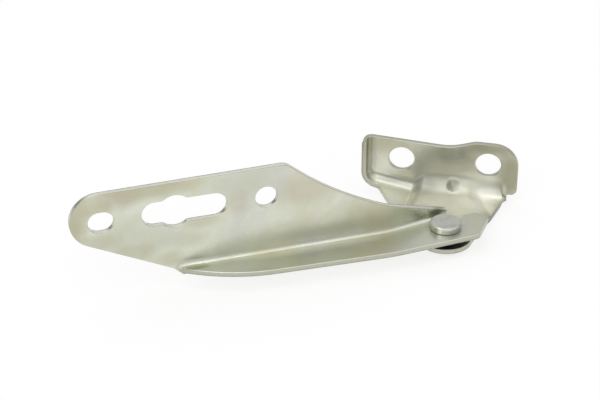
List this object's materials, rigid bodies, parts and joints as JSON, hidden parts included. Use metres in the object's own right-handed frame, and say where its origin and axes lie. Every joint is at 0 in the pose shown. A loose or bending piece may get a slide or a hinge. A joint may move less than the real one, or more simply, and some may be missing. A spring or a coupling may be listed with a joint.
{
  "type": "bonnet hinge",
  "caption": "Pressed sheet-steel bonnet hinge: a long folded arm with bolt holes swings on a riveted pivot over the lug of a folded body bracket.",
  "frame": {"origin": "midway between the two body bolt holes, on the bracket's mounting face", "axes": "+X along the bolt row, +Y out of the mounting face into the body, +Z along the pivot axis towards the rivet's head"},
  "size_m": [0.1996, 0.1266, 0.0562],
  "materials": {
    "zinc_bracket": "zinc plated and passivated, satin, with faint yellow and violet tints",
    "zinc_arm": "zinc plated and passivated, satin, with faint yellow and violet tints",
    "rivet_steel": "plain turned and upset steel",
    "bush_bronze": "dull sintered bronze",
    "washer_steel": "plain steel, slightly oily"
  },
  "bodies": {
    "bracket": {"body_bracket": "zinc_bracket", "pivot_rivet": "rivet_steel", "thrust_washer": "washer_steel", "tail_washer": "washer_steel"},
    "arm": {"bonnet_arm": "zinc_arm", "pivot_bush": "bush_bronze"}
  },
  "joints": [
    {"name": "bonnet_pivot", "type": "hinge", "parent": "bracket", "child": "arm", "pos_m": [0.005, -0.05, -0.0098], "axis": [0, 0, 1], "range_deg": [-55, 60]}
  ]
}
